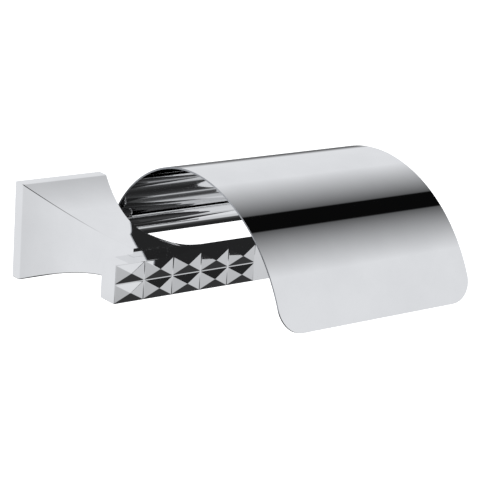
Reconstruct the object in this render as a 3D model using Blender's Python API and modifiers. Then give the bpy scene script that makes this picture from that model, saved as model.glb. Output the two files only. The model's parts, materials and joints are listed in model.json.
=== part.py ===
"""Toilet paper holder with a hinged hood, for a wall, in metres.

The wall is the plane Y = 0 and the holder stands out from it towards -Y. +X runs along the wall to the
right, +Z is up, and the origin is the centre of the wall side of the square flange. A flared post carries a
flat roll bar with a crystal-cut front. A bent sheet hood is curled round a rod in the post's right side.
"""

import math

import bmesh
import bpy

# ---- clearances and mesh fineness ----
GAP = 0.0003            # between pieces that touch or rest on each other
RUNNING_GAP = 0.0002    # radial, between pieces that turn on each other
OVERRUN = 0.002         # how far a cutter runs past the wall it cuts
SINK = 0.0002           # how far a joined shape dips into its neighbour
ROUND_STEPS = 32
HEX_SIDES = 6           # of a nut or a hex socket

# ---- flange and post ----
FLANGE_SIDE = 0.050
FLANGE_THICKNESS = 0.0065
WALL_RELIEF = 0.0002    # the flange's rim is this far off the wall plane
NECK_SIDE = 0.0204
NECK_RISE = 0.0014      # the neck's centre is this far above the flange's
FLARE_LENGTH = 0.058
FLARE_POWER = 1.6
FLARE_STATIONS = 12
POST_REACH = 0.080      # from the wall to the bar's back face
POST_WALL = 0.003
HOLLOW_DEPTH = 0.048

# ---- roll bar ----
BAR_LENGTH = 0.1426
BAR_HEIGHT = 0.0192
BAR_DEPTH = 0.0115
BAR_INSET = 0.0004      # the bar's left end is this far inside the flange's left side
NECK_STEP = 0.0043      # the neck's top stands this far above the bar's top
NECK_LIP = 0.0045       # the neck's top laps this far over the bar
CRYSTAL_COLUMNS = 5
CRYSTAL_ROWS = 2
CRYSTAL_PITCH = 0.0165
CRYSTAL_HEIGHT = 0.0014
FILLET_RUN = 0.026
FILLET_RADIUS = 0.015
FILLET_POWER = 2.2
FILLET_STATIONS = 12

# ---- bolt and dowels that hold the bar ----
BOLT_RADIUS = 0.003
BOLT_HEAD_RADIUS = 0.005
BOLT_HEAD_LENGTH = 0.006
BOLT_SOCKET_RADIUS = 0.0029
BOLT_SOCKET_DEPTH = 0.003
BOLT_THREAD_IN_BAR = 0.0085
BOLT_DROP = 0.0008      # the bolt's axis is this far below the flange's centre
WASHER_RADIUS = 0.006
WASHER_THICKNESS = 0.0012
DOWEL_RADIUS = 0.0012
DOWEL_SPACING = 0.0136
DOWEL_LENGTH = 0.0115
DOWEL_CHAMFER = 0.0003

# ---- wall bracket and its grub screw ----
BRACKET_WIDTH = 0.034
BRACKET_THICKNESS = 0.0045
BRACKET_DROP = 0.017    # from the flange's centre down to the bracket's lower edge
BRACKET_EDGE = 0.0006
SLOT_RADIUS = 0.0023
SLOT_LENGTH = 0.009
SLOT_SPACING = 0.022
GRUB_RADIUS = 0.002
GRUB_RECESS = 0.0004
GRUB_CHAMFER = 0.0004
GRUB_SOCKET_RADIUS = 0.001
GRUB_SOCKET_DEPTH = 0.0024

# ---- hinge ----
HINGE_DISTANCE = 0.016  # from the wall to the hinge's axis
HINGE_DROP = 0.0016     # the axis is this far below the flange's centre
ROD_RADIUS = 0.002
ROD_COLLAR_RADIUS = 0.0036
ROD_COLLAR_LENGTH = 0.0008
ROD_THREAD_END = 0.001
BOSS_RADIUS = 0.005
BOSS_PAD = 0.002        # the boss's inner seat stands this far in from the post's wall
BOSS_SETBACK = 0.0008   # the boss's outer seat is this far inside the flange's right side
NUT_ACROSS_FLATS = 0.007
NUT_THICKNESS = 0.0032
LOCK_WASHER_RADIUS = 0.0038
LOCK_WASHER_THICKNESS = 0.0008
BUSH_WALL = 0.0007
BUSH_LENGTH = 0.014
BUSH_FLANGE = 0.0011
END_WASHER_RADIUS = 0.0036
END_WASHER_THICKNESS = 0.0008
CAP_RADIUS = 0.0044
CAP_LENGTH = 0.006
CAP_FLOOR = 0.001
CAP_DOME = 0.0015       # height of the domed end
CAP_GRUB_RADIUS = 0.0012
CAP_GRUB_PLACE = 0.002  # from the cap's open end

# ---- hood ----
HOOD_WIDTH = 0.1212
HOOD_THICKNESS = 0.0009
CURL_SWEEP = math.radians(300)
HOOD_LEAN = math.radians(11.3)   # the sheet leaves the curl leaning this far off the vertical
HOOD_ARCS = (                    # radius, sweep and steps, from the curl over the top to the front edge
    (0.0365, math.radians(25.7), 8),
    (0.0720, math.radians(64.1), 18),
    (0.0824, math.radians(62.5), 18),
)
CURL_STEPS = 24
HOOD_CORNER = 0.0125
CORNER_STEPS = 7

# ---- stop that the hood rests on ----
STOP_HEIGHT = 0.0086    # above the hinge's axis
STOP_PIN_RADIUS = 0.0013
STOP_SLEEVE_RADIUS = 0.0022
STOP_SLEEVE_LENGTH = 0.0044
STOP_HEAD_LENGTH = 0.001
STOP_HEAD_RADIUS = 0.0020
STOP_ROOT = 0.0015      # how far the pin's root stands into the post's hollow

# ---- places that follow from the sizes ----
HALF_FLANGE = FLANGE_SIDE / 2
NECK_TOP = NECK_RISE + NECK_SIDE / 2
BAR_TOP = NECK_TOP - NECK_STEP
BAR_LEFT = -HALF_FLANGE + BAR_INSET
BAR_BACK = -POST_REACH
BAR_FRONT = BAR_BACK - BAR_DEPTH
HINGE_Y = -HINGE_DISTANCE
HINGE_Z = -HINGE_DROP
BOSS_SEAT = HALF_FLANGE - BOSS_SETBACK
COLLAR_START = BOSS_SEAT + GAP
BUSH_FLANGE_START = COLLAR_START + ROD_COLLAR_LENGTH + GAP
HOOD_LEFT = BUSH_FLANGE_START + BUSH_FLANGE + GAP
HOOD_RIGHT = HOOD_LEFT + HOOD_WIDTH
BUSH_BORE = ROD_RADIUS + RUNNING_GAP
BUSH_RADIUS = BUSH_BORE + BUSH_WALL
CURL_BORE = BUSH_RADIUS + RUNNING_GAP
CURL_RADIUS = CURL_BORE + HOOD_THICKNESS
END_WASHER_START = HOOD_RIGHT + GAP + BUSH_FLANGE + GAP
CAP_START = END_WASHER_START + END_WASHER_THICKNESS + GAP
BRACKET_TOP = HALF_FLANGE - POST_WALL - GAP

TURN = {                         # rotation that takes a turned piece's own +Z to each direction
    "+X": (0, math.pi / 2, 0),
    "-X": (0, -math.pi / 2, 0),
    "-Y": (math.pi / 2, 0, 0),
    "+Z": (0, 0, 0),
}


def clear_scene():
    for obj in list(bpy.data.objects):
        bpy.data.objects.remove(obj, do_unlink=True)


def new_collection(name):
    collection = bpy.data.collections.new(name)
    bpy.context.scene.collection.children.link(collection)
    return collection


def new_material(name, colour, roughness, metallic):
    material = bpy.data.materials.new(name)
    material.use_nodes = True
    shader = material.node_tree.nodes["Principled BSDF"]
    shader.inputs["Base Color"].default_value = (*colour, 1)
    shader.inputs["Roughness"].default_value = roughness
    shader.inputs["Metallic"].default_value = metallic
    material.diffuse_color = (*colour, 1)
    return material


clear_scene()
PARTS = new_collection("toilet_paper_holder")
CUTTERS = new_collection("cutters")
CHROME = new_material("chrome", (0.86, 0.87, 0.88), 0.05, 1)
POLISHED = new_material("polished_sheet", (0.84, 0.85, 0.87), 0.06, 1)
STEEL = new_material("steel", (0.55, 0.56, 0.58), 0.35, 1)
ZINC = new_material("cast_zinc", (0.48, 0.49, 0.51), 0.5, 1)
NYLON = new_material("nylon", (0.82, 0.82, 0.78), 0.5, 0)
RUBBER = new_material("rubber", (0.03, 0.03, 0.03), 0.7, 0)


# ---- tools ----
def add_object(name, mesh, material):
    """A new object from a bmesh. With no material it is a helper that only cuts or joins."""
    bmesh.ops.recalc_face_normals(mesh, faces=mesh.faces)
    data = bpy.data.meshes.new(name)
    mesh.to_mesh(data)
    mesh.free()
    obj = bpy.data.objects.new(name, data)
    if material:
        data.materials.append(material)
        PARTS.objects.link(obj)
    else:
        obj.hide_render = True
        obj.display_type = "WIRE"
        CUTTERS.objects.link(obj)
    return obj


def box(name, low, high, material=None):
    mesh = bmesh.new()
    bmesh.ops.create_cube(mesh, size=1)
    for vertex in mesh.verts:
        for i in range(3):
            vertex.co[i] = low[i] + (vertex.co[i] + 0.5) * (high[i] - low[i])
    return add_object(name, mesh, material)


def loft(name, rings, material=None):
    """A closed solid through rings of points that all have the same number of corners."""
    mesh = bmesh.new()
    rows = [[mesh.verts.new(point) for point in ring] for ring in rings]
    for near, far in zip(rows, rows[1:]):
        for i, corner in enumerate(near):
            j = (i + 1) % len(near)
            mesh.faces.new((corner, near[j], far[j], far[i]))
    mesh.faces.new(rows[0])
    mesh.faces.new(rows[-1])
    return add_object(name, mesh, material)


def turned(name, profile, origin, axis, material=None, steps=ROUND_STEPS, closed=False):
    """A profile of (radius, height) points turned about its own Z, which then points along axis.

    The profile runs down the outer side, top to bottom. A closed one makes a ring.
    """
    mesh = bmesh.new()
    points = [mesh.verts.new((radius, 0, height)) for radius, height in profile]
    for start, end in zip(points, points[1:] + points[:1] if closed else points[1:]):
        mesh.edges.new((start, end))
    obj = add_object(name, mesh, material)
    obj.location = origin
    obj.rotation_euler = TURN[axis]
    screw = obj.modifiers.new("turn", "SCREW")
    screw.steps = steps
    screw.render_steps = steps
    screw.use_merge_vertices = True
    screw.merge_threshold = 0.00001
    return obj


def rod_profile(radius, length, chamfer=0.0):
    return [
        (0, length),
        (radius - chamfer, length),
        (radius, length - chamfer),
        (radius, chamfer),
        (radius - chamfer, 0),
        (0, 0),
    ]


def plain_profile(radius, length):
    return [(0, length), (radius, length), (radius, 0), (0, 0)]


def ring_profile(inner, outer, length):
    return [(outer, length), (outer, 0), (inner, 0), (inner, length)]


def boolean(target, operation, other):
    modifier = target.modifiers.new(f"{operation.lower()} {other.name}", "BOOLEAN")
    modifier.operation = operation
    modifier.solver = "EXACT"
    modifier.object = other


def drill(target, name, origin, axis, radius, length, steps=ROUND_STEPS):
    """A round hole, or with few steps a hexagonal one, from origin along axis."""
    cutter = turned(f"cut_{name}", plain_profile(radius, length), origin, axis, steps=steps)
    boolean(target, "DIFFERENCE", cutter)


def soften(obj, width, angle=40):
    bevel = obj.modifiers.new("soft edges", "BEVEL")
    bevel.width = width
    bevel.segments = 2
    bevel.limit_method = "ANGLE"
    bevel.angle_limit = math.radians(angle)


# ---- post ----
def flare_half(distance):
    """Half of the post's side, at a distance in front of the flange's front face."""
    left = max(0.0, 1 - max(0.0, distance) / FLARE_LENGTH)
    return NECK_SIDE / 2 + (HALF_FLANGE - NECK_SIDE / 2) * left**FLARE_POWER


def flare_centre(distance):
    return NECK_RISE * min(1.0, max(0.0, distance) / FLARE_LENGTH)


def square_ring(y, wall=0.0):
    """The post's square section at y, drawn in by the wall."""
    distance = -y - FLANGE_THICKNESS
    half = flare_half(distance) - wall
    middle = flare_centre(distance)
    return [(x * half, y, middle + z * half) for x, z in ((-1, -1), (1, -1), (1, 1), (-1, 1))]


def flare_stations(depth):
    """Y of each section from the flange's front face to a depth, closer together near the flange."""
    run = depth - FLANGE_THICKNESS
    return [-FLANGE_THICKNESS - run * (i / FLARE_STATIONS) for i in range(FLARE_STATIONS + 1)]


def make_post():
    flared = flare_stations(FLANGE_THICKNESS + FLARE_LENGTH)
    ends = [-WALL_RELIEF] + flared + [BAR_BACK - NECK_LIP]
    post = loft("flange_post", [square_ring(y) for y in ends], CHROME)
    inside = [OVERRUN] + flare_stations(HOLLOW_DEPTH)
    boolean(post, "DIFFERENCE", loft("cut_hollow", [square_ring(y, POST_WALL) for y in inside]))
    bar_room = box(
        "cut_bar_room",
        (-HALF_FLANGE, BAR_BACK - NECK_LIP - OVERRUN, -HALF_FLANGE),
        (HALF_FLANGE, BAR_BACK + GAP, BAR_TOP + GAP),
    )
    boolean(post, "DIFFERENCE", bar_room)
    bolt_start = (0, -HOLLOW_DEPTH + OVERRUN, -BOLT_DROP)
    bolt_run = POST_REACH - HOLLOW_DEPTH + OVERRUN
    drill(post, "bolt_way", bolt_start, "-Y", BOLT_RADIUS + GAP, bolt_run)
    for side, x in dowel_places():
        start = (x, BAR_BACK + DOWEL_LENGTH / 2 + GAP, -BOLT_DROP)
        run = DOWEL_LENGTH / 2 + OVERRUN
        drill(post, f"post_dowel_{side}", start, "-Y", DOWEL_RADIUS + GAP, run)
    grub_start = (0, -FLANGE_THICKNESS / 2, -HALF_FLANGE - OVERRUN)
    drill(post, "grub", grub_start, "+Z", GRUB_RADIUS + GAP, POST_WALL + 2 * OVERRUN)
    add_stop_hole(post)
    add_hinge_boss(post)


def boss_inner_seat():
    return flare_half(HINGE_DISTANCE - FLANGE_THICKNESS) - POST_WALL - BOSS_PAD


def add_stop_hole(post):
    y, z = stop_place()
    root = stop_root()
    run = HALF_FLANGE - root + OVERRUN
    drill(post, "stop_way", (root - OVERRUN, y, z), "+X", STOP_PIN_RADIUS + GAP, run)


def add_hinge_boss(post):
    """The cast boss for the hinge rod, with the rod's hole through it."""
    seat = boss_inner_seat()
    length = BOSS_SEAT - seat
    origin = (seat, HINGE_Y, HINGE_Z)
    boss = turned("join_boss", plain_profile(BOSS_RADIUS, length), origin, "+X")
    boolean(post, "UNION", boss)
    start = (seat - OVERRUN, HINGE_Y, HINGE_Z)
    drill(post, "rod_way", start, "+X", ROD_RADIUS + GAP, length + 2 * OVERRUN)


def make_bracket():
    """The plate that is screwed to the wall, which the post slips over and is clamped to."""
    low = (-BRACKET_WIDTH / 2, -BRACKET_THICKNESS, -BRACKET_DROP)
    high = (BRACKET_WIDTH / 2, 0, BRACKET_TOP)
    bracket = box("wall_bracket", low, high, ZINC)
    for name, side in (("upper", 1), ("lower", -1)):
        cutter = loft(f"cut_slot_{name}", slot_rings(side * SLOT_SPACING / 2))
        boolean(bracket, "DIFFERENCE", cutter)
    soften(bracket, BRACKET_EDGE)


def slot_rings(z):
    """Two outlines of a slot with round ends, one past each face of the bracket."""
    straight = SLOT_LENGTH / 2 - SLOT_RADIUS
    half_turn = ROUND_STEPS // 4
    outline = []
    for side in (1, -1):
        for i in range(half_turn + 1):
            angle = side * math.pi / 2 - math.pi * i / half_turn
            x = side * straight + SLOT_RADIUS * math.cos(angle)
            outline.append((x, z + SLOT_RADIUS * math.sin(angle)))
    return [[(x, y, z) for x, z in outline] for y in (-BRACKET_THICKNESS - OVERRUN, OVERRUN)]


def make_grub_screw():
    start = -HALF_FLANGE + GRUB_RECESS
    length = -BRACKET_DROP - GAP - start
    profile = rod_profile(GRUB_RADIUS, length, GRUB_CHAMFER)
    screw = turned("bracket_grub_screw", profile, (0, -FLANGE_THICKNESS / 2, start), "+Z", STEEL)
    socket = (0, -FLANGE_THICKNESS / 2, start - OVERRUN)
    run = GRUB_SOCKET_DEPTH + OVERRUN
    drill(screw, "grub_socket", socket, "+Z", GRUB_SOCKET_RADIUS, run, HEX_SIDES)


# ---- roll bar ----
def dowel_places():
    return (("left", -DOWEL_SPACING / 2), ("right", DOWEL_SPACING / 2))


def cut_lines(mesh, point, normal):
    bmesh.ops.bisect_plane(
        mesh, geom=mesh.verts[:] + mesh.edges[:] + mesh.faces[:], plane_co=point, plane_no=normal
    )


def bar_body():
    """The bar as a block, its front face cut into cells and each cell raised to a point."""
    mesh = bmesh.new()
    bmesh.ops.create_cube(mesh, size=1)
    size = (BAR_LENGTH, BAR_DEPTH, BAR_HEIGHT)
    low = (BAR_LEFT, BAR_FRONT, BAR_TOP - BAR_HEIGHT)
    for vertex in mesh.verts:
        for i in range(3):
            vertex.co[i] = low[i] + (vertex.co[i] + 0.5) * size[i]
    for i in range(CRYSTAL_COLUMNS):
        cut_lines(mesh, (BAR_LEFT + (i + 1) * CRYSTAL_PITCH, 0, 0), (1, 0, 0))
    for i in range(1, CRYSTAL_ROWS):
        cut_lines(mesh, (0, 0, BAR_TOP - i * BAR_HEIGHT / CRYSTAL_ROWS), (0, 0, 1))
    mesh.normal_update()
    crystal_end = BAR_LEFT + CRYSTAL_COLUMNS * CRYSTAL_PITCH
    cells = [
        face
        for face in mesh.faces
        if face.normal.y < -0.5 and face.calc_center_median().x < crystal_end
    ]
    bmesh.ops.poke(mesh, faces=cells, offset=CRYSTAL_HEIGHT)
    return mesh


def fillet_rings():
    """Sections across the fillet that runs from the neck's right side down into the bar."""
    rings = []
    for i in range(FILLET_STATIONS + 1):
        part = i / FILLET_STATIONS
        along = part * FILLET_RUN
        reach = max(0.0, 1 - along / FILLET_RADIUS)
        back = BAR_BACK + FILLET_RADIUS * (1 - math.sqrt(1 - reach**2)) - SINK * part
        top = BAR_TOP + NECK_STEP * (1 - part) ** FILLET_POWER - SINK * part
        low = BAR_TOP - BAR_HEIGHT + SINK
        front = BAR_BACK - NECK_LIP
        x = NECK_SIDE / 2 + GAP + along
        rings.append([(x, front, low), (x, back, low), (x, back, top), (x, front, top)])
    return rings


def make_bar():
    bar = add_object("roll_bar", bar_body(), CHROME)
    boolean(bar, "UNION", loft("join_fillet", fillet_rings()))
    start = (0, BAR_BACK + OVERRUN, -BOLT_DROP)
    depth = BOLT_THREAD_IN_BAR + GAP + OVERRUN
    drill(bar, "bolt_thread", start, "-Y", BOLT_RADIUS + GAP, depth)
    for side, x in dowel_places():
        start = (x, BAR_BACK + OVERRUN, -BOLT_DROP)
        depth = DOWEL_LENGTH / 2 + GAP + OVERRUN
        drill(bar, f"bar_dowel_{side}", start, "-Y", DOWEL_RADIUS + GAP, depth)


def make_bar_fasteners():
    washer_start = -HOLLOW_DEPTH + GAP + WASHER_THICKNESS
    washer = ring_profile(BOLT_RADIUS + GAP, WASHER_RADIUS, WASHER_THICKNESS)
    turned("bar_bolt_washer", washer, (0, washer_start, -BOLT_DROP), "-Y", STEEL, closed=True)
    head_start = washer_start + GAP + BOLT_HEAD_LENGTH
    length = head_start - BAR_BACK + BOLT_THREAD_IN_BAR
    profile = [
        (0, length),
        (BOLT_RADIUS, length),
        (BOLT_RADIUS, BOLT_HEAD_LENGTH),
        (BOLT_HEAD_RADIUS, BOLT_HEAD_LENGTH),
        (BOLT_HEAD_RADIUS, 0),
        (0, 0),
    ]
    bolt = turned("bar_bolt", profile, (0, head_start, -BOLT_DROP), "-Y", STEEL)
    socket = (0, head_start + OVERRUN, -BOLT_DROP)
    run = BOLT_SOCKET_DEPTH + OVERRUN
    drill(bolt, "bolt_socket", socket, "-Y", BOLT_SOCKET_RADIUS, run, HEX_SIDES)
    for side, x in dowel_places():
        profile = rod_profile(DOWEL_RADIUS, DOWEL_LENGTH, DOWEL_CHAMFER)
        start = (x, BAR_BACK + DOWEL_LENGTH / 2, -BOLT_DROP)
        turned(f"bar_dowel_{side}", profile, start, "-Y", STEEL)


# ---- hinge ----
def make_rod():
    """The rod that the hood turns on, its collar drawn up to the boss by the nut in the hollow."""
    lock_end = boss_inner_seat() - GAP - LOCK_WASHER_THICKNESS
    nut_end = lock_end - GAP - NUT_THICKNESS
    start = nut_end - ROD_THREAD_END
    end = CAP_START + CAP_LENGTH - CAP_FLOOR - GAP
    collar = COLLAR_START - start
    profile = [
        (0, end - start),
        (ROD_RADIUS, end - start),
        (ROD_RADIUS, collar + ROD_COLLAR_LENGTH),
        (ROD_COLLAR_RADIUS, collar + ROD_COLLAR_LENGTH),
        (ROD_COLLAR_RADIUS, collar),
        (ROD_RADIUS, collar),
        (ROD_RADIUS, 0),
        (0, 0),
    ]
    turned("hinge_rod", profile, (start, HINGE_Y, HINGE_Z), "+X", CHROME)
    washer = ring_profile(ROD_RADIUS + GAP, LOCK_WASHER_RADIUS, LOCK_WASHER_THICKNESS)
    turned("rod_lock_washer", washer, (lock_end, HINGE_Y, HINGE_Z), "+X", STEEL, closed=True)
    corner = NUT_ACROSS_FLATS / math.sqrt(3)
    place = (nut_end, HINGE_Y, HINGE_Z)
    nut = turned("rod_nut", plain_profile(corner, NUT_THICKNESS), place, "+X", STEEL, HEX_SIDES)
    hole = (nut_end - OVERRUN, HINGE_Y, HINGE_Z)
    drill(nut, "nut_thread", hole, "+X", ROD_RADIUS + GAP, NUT_THICKNESS + 2 * OVERRUN)


def make_bush(name, start, axis, hinge):
    """A flanged nylon bush, its flange's outer face at start, inside one end of the hood's curl."""
    profile = [
        (BUSH_RADIUS, BUSH_LENGTH),
        (BUSH_RADIUS, BUSH_FLANGE),
        (CURL_RADIUS, BUSH_FLANGE),
        (CURL_RADIUS, 0),
        (BUSH_BORE, 0),
        (BUSH_BORE, BUSH_LENGTH),
    ]
    bush = turned(name, profile, (start, 0, 0), axis, NYLON, closed=True)
    bush.parent = hinge


def make_end_cap():
    washer = ring_profile(ROD_RADIUS + GAP, END_WASHER_RADIUS, END_WASHER_THICKNESS)
    turned("end_washer", washer, (END_WASHER_START, HINGE_Y, HINGE_Z), "+X", STEEL, closed=True)
    bore = ROD_RADIUS + GAP
    steps = ROUND_STEPS // 8
    angles = [math.pi / 2 * i / steps for i in range(steps + 1)]
    base = CAP_LENGTH - CAP_DOME
    profile = [(CAP_RADIUS * math.sin(a), base + CAP_DOME * math.cos(a)) for a in angles]
    floor = CAP_LENGTH - CAP_FLOOR
    profile += [(CAP_RADIUS, 0), (bore, 0), (bore, floor), (0, floor)]
    cap = turned("rod_end_cap", profile, (CAP_START, HINGE_Y, HINGE_Z), "+X", CHROME)
    x = CAP_START + CAP_GRUB_PLACE
    way = (x, HINGE_Y, HINGE_Z - CAP_RADIUS - OVERRUN)
    drill(cap, "cap_grub", way, "+Z", CAP_GRUB_RADIUS + GAP, CAP_RADIUS + OVERRUN)
    length = CAP_RADIUS - ROD_RADIUS - 2 * GAP
    place = (x, HINGE_Y, HINGE_Z - CAP_RADIUS + GAP)
    turned("cap_grub_screw", plain_profile(CAP_GRUB_RADIUS, length), place, "+Z", STEEL)


# ---- hood ----
def first_arc_centre():
    """Centre of the hood's first arc, seen from the hinge's axis, as (y, z)."""
    out = CURL_RADIUS - HOOD_ARCS[0][0]
    return out * math.cos(HOOD_LEAN), out * math.sin(HOOD_LEAN)


def hood_profile():
    """(y, z, distance along the sheet) of the hood's outer surface, seen from the hinge's axis."""
    arcs = ((CURL_RADIUS, CURL_SWEEP, CURL_STEPS),) + HOOD_ARCS
    angle = HOOD_LEAN - CURL_SWEEP
    y = CURL_RADIUS * math.cos(angle)
    z = CURL_RADIUS * math.sin(angle)
    length = 0.0
    points = [(y, z, length)]
    for radius, sweep, steps in arcs:
        centre = (y - radius * math.cos(angle), z - radius * math.sin(angle))
        for i in range(1, steps + 1):
            turned_to = angle + sweep * i / steps
            y = centre[0] + radius * math.cos(turned_to)
            z = centre[1] + radius * math.sin(turned_to)
            points.append((y, z, length + radius * sweep * i / steps))
        angle += sweep
        length += radius * sweep
    return points


def between(points, distance):
    """The point of the profile at a distance along it."""
    for near, far in zip(points, points[1:]):
        if near[2] <= distance <= far[2]:
            part = (distance - near[2]) / (far[2] - near[2])
            return tuple(a + part * (b - a) for a, b in zip(near, far))
    return points[-1]


def hood_rows():
    """(inset from the sides, y, z) of each row of the sheet, with the front corners rounded."""
    points = hood_profile()
    end = points[-1][2]
    rows = [(0.0, y, z) for y, z, along in points if along < end - HOOD_CORNER]
    for i in range(CORNER_STEPS + 1):
        angle = math.pi / 2 * i / CORNER_STEPS
        y, z, _ = between(points, end - HOOD_CORNER * (1 - math.sin(angle)))
        rows.append((HOOD_CORNER * (1 - math.cos(angle)), y, z))
    return rows


def make_hood(hinge):
    mesh = bmesh.new()
    rows = []
    for inset, y, z in hood_rows():
        ends = (HOOD_LEFT + inset, HOOD_RIGHT - inset)
        rows.append([mesh.verts.new((x, y, z)) for x in ends])
    for near, far in zip(rows, rows[1:]):
        mesh.faces.new((near[0], near[1], far[1], far[0]))
    data = bpy.data.meshes.new("hood")
    mesh.to_mesh(data)
    mesh.free()
    data.materials.append(POLISHED)
    hood = bpy.data.objects.new("hood", data)
    PARTS.objects.link(hood)
    hood.parent = hinge
    sheet = hood.modifiers.new("sheet", "SOLIDIFY")
    sheet.thickness = HOOD_THICKNESS
    sheet.offset = -1
    sheet.use_even_offset = True


# ---- stop ----
def stop_place():
    """(y, z) of the stop pin, whose sleeve the hood's inner face rests on."""
    centre_y, centre_z = first_arc_centre()
    radius = HOOD_ARCS[0][0] - HOOD_THICKNESS - GAP - STOP_SLEEVE_RADIUS
    up = STOP_HEIGHT - centre_z
    return HINGE_Y + centre_y + math.sqrt(radius**2 - up**2), HINGE_Z + STOP_HEIGHT


def stop_root():
    y, _ = stop_place()
    return flare_half(-y - FLANGE_THICKNESS) - POST_WALL - STOP_ROOT


def make_stop():
    y, z = stop_place()
    root = stop_root()
    sleeve_start = HOOD_LEFT + GAP
    head_start = sleeve_start + STOP_SLEEVE_LENGTH + GAP
    reach = head_start - root
    profile = [
        (0, reach + STOP_HEAD_LENGTH),
        (STOP_HEAD_RADIUS, reach + STOP_HEAD_LENGTH),
        (STOP_HEAD_RADIUS, reach),
        (STOP_PIN_RADIUS, reach),
        (STOP_PIN_RADIUS, 0),
        (0, 0),
    ]
    turned("stop_pin", profile, (root, y, z), "+X", CHROME)
    sleeve = ring_profile(STOP_PIN_RADIUS + RUNNING_GAP, STOP_SLEEVE_RADIUS, STOP_SLEEVE_LENGTH)
    turned("stop_sleeve", sleeve, (sleeve_start, y, z), "+X", RUBBER, closed=True)


def make_hinge_axis():
    hinge = bpy.data.objects.new("hood_hinge", None)
    hinge.location = (0, HINGE_Y, HINGE_Z)
    PARTS.objects.link(hinge)
    return hinge


def main():
    make_post()
    make_bracket()
    make_grub_screw()
    make_bar()
    make_bar_fasteners()
    make_rod()
    make_end_cap()
    make_stop()
    hinge = make_hinge_axis()
    make_hood(hinge)
    make_bush("hinge_bush_left", BUSH_FLANGE_START, "+X", hinge)
    make_bush("hinge_bush_right", HOOD_RIGHT + GAP + BUSH_FLANGE, "-X", hinge)


main()
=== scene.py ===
import json
import math

import bmesh
import bpy
from mathutils import Matrix, Vector


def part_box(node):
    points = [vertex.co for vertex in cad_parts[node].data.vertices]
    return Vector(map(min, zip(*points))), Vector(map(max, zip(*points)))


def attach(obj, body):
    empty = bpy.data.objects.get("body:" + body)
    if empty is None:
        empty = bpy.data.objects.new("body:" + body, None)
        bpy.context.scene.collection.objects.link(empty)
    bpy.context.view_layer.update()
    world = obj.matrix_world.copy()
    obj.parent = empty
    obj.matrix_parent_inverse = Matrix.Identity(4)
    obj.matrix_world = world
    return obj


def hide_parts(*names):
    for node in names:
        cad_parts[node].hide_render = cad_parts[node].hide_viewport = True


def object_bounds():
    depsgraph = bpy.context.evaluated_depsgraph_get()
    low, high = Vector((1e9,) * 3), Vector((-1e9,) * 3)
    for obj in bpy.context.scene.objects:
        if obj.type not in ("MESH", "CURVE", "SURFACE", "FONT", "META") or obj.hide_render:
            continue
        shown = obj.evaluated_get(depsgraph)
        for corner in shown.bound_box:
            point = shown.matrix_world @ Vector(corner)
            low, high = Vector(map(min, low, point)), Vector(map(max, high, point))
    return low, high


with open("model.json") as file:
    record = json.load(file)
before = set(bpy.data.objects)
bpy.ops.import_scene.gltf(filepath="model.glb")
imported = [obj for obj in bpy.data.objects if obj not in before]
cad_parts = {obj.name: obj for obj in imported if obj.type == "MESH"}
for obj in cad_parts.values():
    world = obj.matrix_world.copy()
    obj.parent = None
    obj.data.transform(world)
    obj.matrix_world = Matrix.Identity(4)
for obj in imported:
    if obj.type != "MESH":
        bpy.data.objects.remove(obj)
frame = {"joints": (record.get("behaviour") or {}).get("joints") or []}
CAD_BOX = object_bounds()

# ---- sizes shared with the CAD model, in metres ----
SEAM = 0.00003           # between fixed pieces that are drawn up tight
WELD = 0.000001          # closes the hairline gaps that a cut can leave
OVERRUN = 0.002          # how far a large cutting shape runs past the face that it cuts
SHORT_OVERRUN = 0.001    # and how far a small one does
FIXED = "wall_frame"
MOVING = "hood"
HINGE = frame["joints"][0]["pos_m"]
HINGE_Y, HINGE_Z = HINGE[1], HINGE[2]

POST_LOW, POST_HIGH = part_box("flange_post")
BAR_LOW, BAR_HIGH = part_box("roll_bar")
HOOD_LOW, HOOD_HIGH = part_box("hood")

FLANGE_HALF = POST_HIGH.x
FLANGE_FRONT = -0.0065
NECK_HALF = 0.0102
NECK_RISE = 0.0014
FLARE_LENGTH = 0.058
FLARE_POWER = 1.6
POST_WALL = 0.003
HOLLOW_FLOOR = -0.048

BAR_BACK = -0.080
BAR_FRONT = -0.0915
BAR_TOP = 0.0073
CRYSTAL_COLUMNS = 5
CRYSTAL_ROWS = 2
CRYSTAL_PITCH = 0.0165
CRYSTAL_HEIGHT = BAR_FRONT - BAR_LOW.y
CRYSTAL_LAND = 0.0007
NECK_TOP = NECK_RISE + NECK_HALF
NECK_FRONT = POST_LOW.y
FILLET_RUN = 0.026
FILLET_RADIUS = 0.015
FILLET_POWER = 2.2
FILLET_LAP = 0.0006       # the fillet laps this far over the neck's end
FILLET_PROUD = 0.00001    # and stands this far off its faces

SHEET = 0.0009
CURL_RADIUS = 0.0040
HOOD_LEAN = math.radians(11.3)
HOOD_ARCS = (             # each arc's radius, sweep and steps, from the curl to the front edge
    (CURL_RADIUS, math.radians(300), 60),
    (0.0365, math.radians(25.7), 26),
    (0.0720, math.radians(64.1), 64),
    (0.0824, math.radians(62.5), 62),
)
HOOD_CORNER = 0.0125


# ---- camera ----
CAMERA_AZIMUTH = math.radians(38.78)
CAMERA_ELEVATION = math.radians(16.34)
CAMERA_ROLL = math.radians(4.26)
CAMERA_DISTANCE = 0.93294
CAMERA_TARGET = Vector((0.08731, -0.04545, -0.0050))
CAMERA_LENS = 133.8
CAMERA_SHIFT = (-0.0088, -0.0084)
CAMERA_NEAR = 0.05
CAMERA_FAR = 50


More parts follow.
